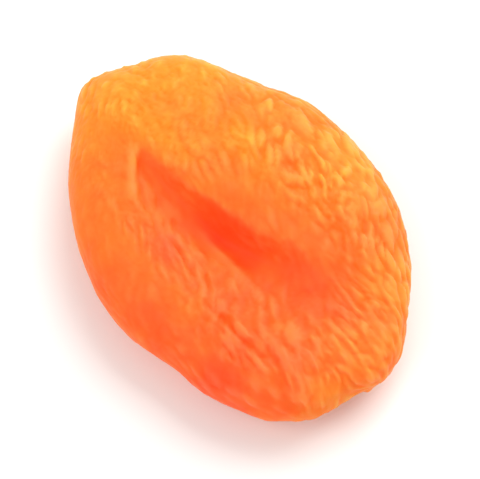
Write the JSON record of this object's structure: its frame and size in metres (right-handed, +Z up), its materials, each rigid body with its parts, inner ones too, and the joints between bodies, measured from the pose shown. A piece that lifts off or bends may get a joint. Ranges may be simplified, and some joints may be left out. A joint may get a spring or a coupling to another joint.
{
  "type": "dried apricot",
  "caption": "Whole dried apricot without its stone: a flattened, lopsided, wrinkled fruit with a slanting dent under a plump lip, lying on its underside.",
  "frame": {"origin": "centre of the fruit's outline, on the flat spot of the underside it lies on", "axes": "+Z up through the dented side; +X from the stem end to the blossom end; +Y towards the plump lobe beside the dent"},
  "size_m": [0.0418, 0.0296, 0.0109],
  "materials": {
    "flesh": "moist, translucent orange flesh under a thin matte skin with fine wrinkles, redder in the dent and in the creases"
  },
  "bodies": {
    "root": {"apricot": "flesh"}
  },
  "joints": []
}
